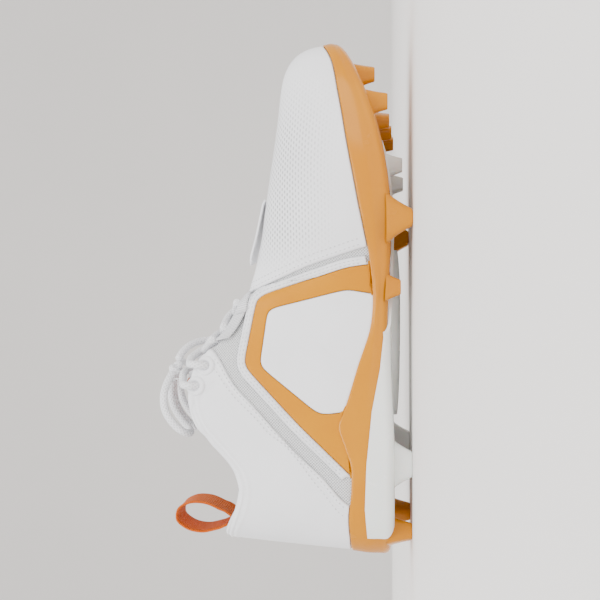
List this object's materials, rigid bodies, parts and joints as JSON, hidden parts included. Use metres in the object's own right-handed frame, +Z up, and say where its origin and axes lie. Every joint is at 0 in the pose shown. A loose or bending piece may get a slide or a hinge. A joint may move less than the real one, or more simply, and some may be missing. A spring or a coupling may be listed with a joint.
{
  "type": "american football cleat",
  "caption": "Mid-cut american football cleat standing on its studs, with laced throat, tongue, heel pull loop and moulded outsole.",
  "frame": {"origin": "on the plane of the stud tips, under the middle of the shoe's length and width", "axes": "+X towards the toe, +Y towards the outer (lateral) side of the foot, +Z up"},
  "size_m": [0.3046, 0.0999, 0.1505],
  "materials": {
    "knit": "grey-white open knit",
    "lining": "soft white lining fabric",
    "white_synthetic": "smooth white synthetic leather",
    "amber_film": "satin amber film over synthetic leather",
    "amber_plastic": "glossy moulded amber plastic",
    "white_plastic": "glossy moulded white plastic",
    "white_webbing": "ribbed white webbing",
    "orange_webbing": "ribbed red-orange webbing",
    "lace": "round braided white lace"
  },
  "bodies": {
    "root": {"upper": "knit", "tongue": "lining", "insole": "lining", "outsole": "amber_plastic", "shank_plate": "white_plastic", "vamp": "white_synthetic", "ankle_shell": "white_synthetic", "quarter_frame_medial": "amber_film", "quarter_frame_lateral": "amber_film", "quarter_pane_medial": "white_synthetic", "quarter_pane_lateral": "white_synthetic", "eyelet_medial_1": "white_synthetic", "eyelet_medial_2": "white_synthetic", "eyelet_lateral_1": "white_synthetic", "eyelet_lateral_2": "white_synthetic", "webbing_front_medial": "white_webbing", "webbing_front_lateral": "white_webbing", "webbing_rear_medial": "white_webbing", "webbing_rear_lateral": "white_webbing", "vamp_loop": "white_synthetic", "pull_loop": "orange_webbing", "lace_crossings": "lace", "lace_top": "lace", "lace_knot": "lace", "lace_loop_medial": "lace", "lace_loop_lateral": "lace", "lace_end_rear": "lace", "lace_end_front": "lace"}
  },
  "joints": []
}
